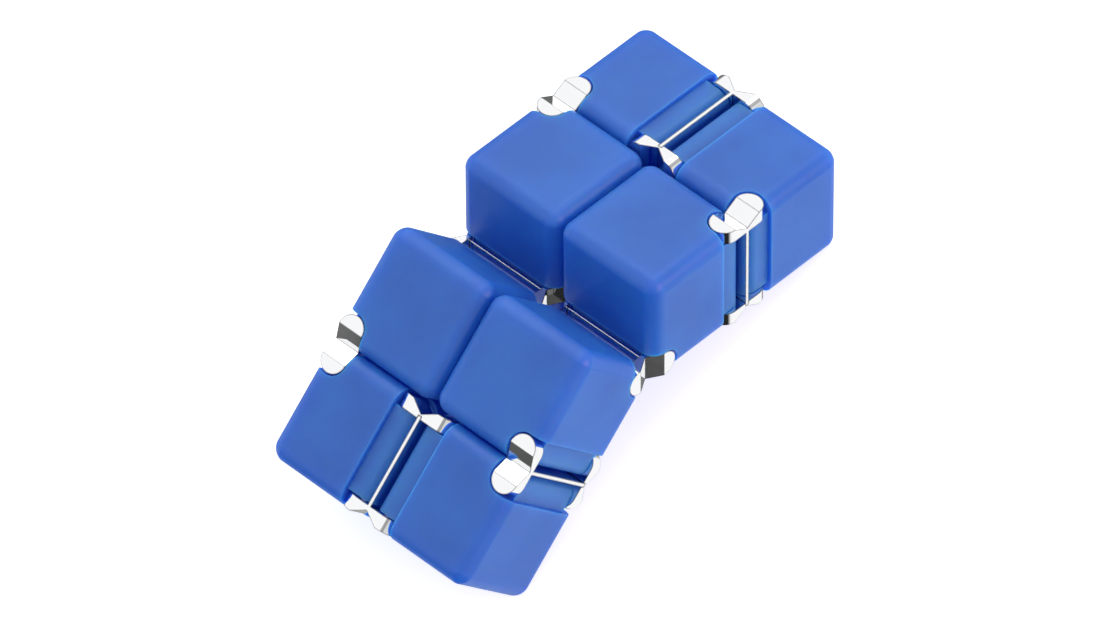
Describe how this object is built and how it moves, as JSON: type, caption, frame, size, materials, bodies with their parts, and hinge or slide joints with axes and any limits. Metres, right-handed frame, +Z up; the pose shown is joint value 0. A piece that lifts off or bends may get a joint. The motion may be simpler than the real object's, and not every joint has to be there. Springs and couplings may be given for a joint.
{
  "type": "folding fidget cube",
  "caption": "Folding fidget cube, half open: hollow rounded cubes of frosted blue plastic in a loop, joined by chromed double-pivot hinge links.",
  "frame": {"origin": "on the table, midway between the two ends and between the two rows of the half-open toy", "axes": "+X from the lower slab to the upper slab, across the main fold; +Y towards the left row, along the main fold; +Z up"},
  "size_m": [0.0866, 0.0398, 0.0327],
  "materials": {
    "frosted_blue_plastic": "satin, slightly translucent",
    "chromed_link": "polished",
    "pin_steel": "ground"
  },
  "bodies": {
    "cube_a": {"cube_a_shell": "frosted_blue_plastic", "cube_a_cover": "frosted_blue_plastic"},
    "cube_b": {"cube_b_shell": "frosted_blue_plastic", "cube_b_cover": "frosted_blue_plastic"},
    "cube_c": {"cube_c_shell": "frosted_blue_plastic", "cube_c_cover": "frosted_blue_plastic"},
    "cube_d": {"cube_d_shell": "frosted_blue_plastic", "cube_d_cover": "frosted_blue_plastic"},
    "cube_e": {"cube_e_shell": "frosted_blue_plastic", "cube_e_cover": "frosted_blue_plastic"},
    "cube_f": {"cube_f_shell": "frosted_blue_plastic", "cube_f_cover": "frosted_blue_plastic"},
    "cube_g": {"cube_g_shell": "frosted_blue_plastic", "cube_g_cover": "frosted_blue_plastic"},
    "cube_h": {"cube_h_shell": "frosted_blue_plastic", "cube_h_cover": "frosted_blue_plastic"},
    "link_ab": {"hinge_ab_link": "chromed_link", "hinge_ab_cap": "chromed_link", "hinge_ab_pins": "pin_steel"},
    "link_ac": {"hinge_ac_link": "chromed_link", "hinge_ac_cap": "chromed_link", "hinge_ac_pins": "pin_steel"},
    "link_bd": {"hinge_bd_link": "chromed_link", "hinge_bd_cap": "chromed_link", "hinge_bd_pins": "pin_steel"},
    "link_ce": {"hinge_ce_link": "chromed_link", "hinge_ce_cap": "chromed_link", "hinge_ce_pins": "pin_steel"},
    "link_df": {"hinge_df_link": "chromed_link", "hinge_df_cap": "chromed_link", "hinge_df_pins": "pin_steel"},
    "link_eg": {"hinge_eg_link": "chromed_link", "hinge_eg_cap": "chromed_link", "hinge_eg_pins": "pin_steel"},
    "link_fh": {"hinge_fh_link": "chromed_link", "hinge_fh_cap": "chromed_link", "hinge_fh_pins": "pin_steel"},
    "link_gh": {"hinge_gh_link": "chromed_link", "hinge_gh_cap": "chromed_link", "hinge_gh_pins": "pin_steel"}
  },
  "joints": [
    {"name": "left_fold_upper_pivot", "type": "hinge", "parent": "cube_c", "child": "link_ce", "pos_m": [0.00235, 0.01, 0.01486], "axis": [0, -1, 0], "range_deg": [0, 90]},
    {"name": "left_fold_lower_pivot", "type": "hinge", "parent": "link_ce", "child": "cube_e", "pos_m": [-0.00232, 0.01, 0.01665], "axis": [0, -1, 0], "range_deg": [-45, 45]},
    {"name": "right_fold_upper_pivot", "type": "hinge", "parent": "cube_d", "child": "link_df", "pos_m": [0.00235, -0.01, 0.01486], "axis": [0, -1, 0], "range_deg": [0, 90]},
    {"name": "right_fold_lower_pivot", "type": "hinge", "parent": "link_df", "child": "cube_f", "pos_m": [-0.00232, -0.01, 0.01665], "axis": [0, -1, 0], "range_deg": [-45, 45]},
    {"name": "upper_row_left_pivot", "type": "hinge", "parent": "cube_a", "child": "link_ab", "pos_m": [0.03339, 0.0025, 0.01906], "axis": [-0.9341, 0, 0.357], "range_deg": [0, 90]},
    {"name": "upper_row_right_pivot", "type": "hinge", "parent": "link_ab", "child": "cube_b", "pos_m": [0.03339, -0.0025, 0.01906], "axis": [-0.9341, 0, 0.357], "range_deg": [0, 90]},
    {"name": "lower_row_left_pivot", "type": "hinge", "parent": "cube_g", "child": "link_gh", "pos_m": [-0.03355, 0.0025, 0.01912], "axis": [-0.9129, 0, -0.4081], "range_deg": [0, 90]},
    {"name": "left_door_upper_outer_pivot", "type": "hinge", "parent": "cube_a", "child": "link_ac", "pos_m": [0.02371, 0.0175, 0.01473], "axis": [-0.357, 0, -0.9341], "range_deg": [0, 90]},
    {"name": "left_door_upper_inner_pivot", "type": "hinge", "parent": "link_ac", "child": "cube_c", "pos_m": [0.01904, 0.0175, 0.01652], "axis": [-0.357, 0, -0.9341], "range_deg": [0, 90]},
    {"name": "left_door_lower_inner_pivot", "type": "hinge", "parent": "cube_e", "child": "link_eg", "pos_m": [-0.01908, 0.0175, 0.01737], "axis": [0.4081, 0, -0.9129], "range_deg": [0, 90]},
    {"name": "left_door_lower_outer_pivot", "type": "hinge", "parent": "link_eg", "child": "cube_g", "pos_m": [-0.02364, 0.0175, 0.01533], "axis": [0.4081, 0, -0.9129], "range_deg": [0, 90]},
    {"name": "right_door_upper_outer_pivot", "type": "hinge", "parent": "cube_b", "child": "link_bd", "pos_m": [0.02371, -0.0175, 0.01473], "axis": [0.357, 0, 0.9341], "range_deg": [0, 90]},
    {"name": "right_door_upper_inner_pivot", "type": "hinge", "parent": "link_bd", "child": "cube_d", "pos_m": [0.01904, -0.0175, 0.01652], "axis": [0.357, 0, 0.9341], "range_deg": [0, 90]},
    {"name": "right_door_lower_inner_pivot", "type": "hinge", "parent": "cube_f", "child": "link_fh", "pos_m": [-0.01908, -0.0175, 0.01737], "axis": [-0.4081, 0, 0.9129], "range_deg": [0, 90]},
    {"name": "right_door_lower_outer_pivot", "type": "hinge", "parent": "link_fh", "child": "cube_h", "pos_m": [-0.02364, -0.0175, 0.01533], "axis": [-0.4081, 0, 0.9129], "range_deg": [0, 90]}
  ],
  "couplings": [
    {"joint": "right_fold_upper_pivot", "follows": "left_fold_upper_pivot", "ratio": 1},
    {"joint": "right_fold_lower_pivot", "follows": "left_fold_lower_pivot", "ratio": 1},
    {"joint": "upper_row_right_pivot", "follows": "upper_row_left_pivot", "ratio": 1},
    {"joint": "lower_row_left_pivot", "follows": "upper_row_left_pivot", "ratio": 1},
    {"joint": "left_door_upper_inner_pivot", "follows": "left_door_upper_outer_pivot", "ratio": 1},
    {"joint": "left_door_lower_inner_pivot", "follows": "left_door_upper_outer_pivot", "ratio": 1},
    {"joint": "left_door_lower_outer_pivot", "follows": "left_door_upper_outer_pivot", "ratio": 1},
    {"joint": "right_door_upper_inner_pivot", "follows": "right_door_upper_outer_pivot", "ratio": 1},
    {"joint": "right_door_lower_inner_pivot", "follows": "right_door_upper_outer_pivot", "ratio": 1},
    {"joint": "right_door_lower_outer_pivot", "follows": "right_door_upper_outer_pivot", "ratio": 1}
  ]
}
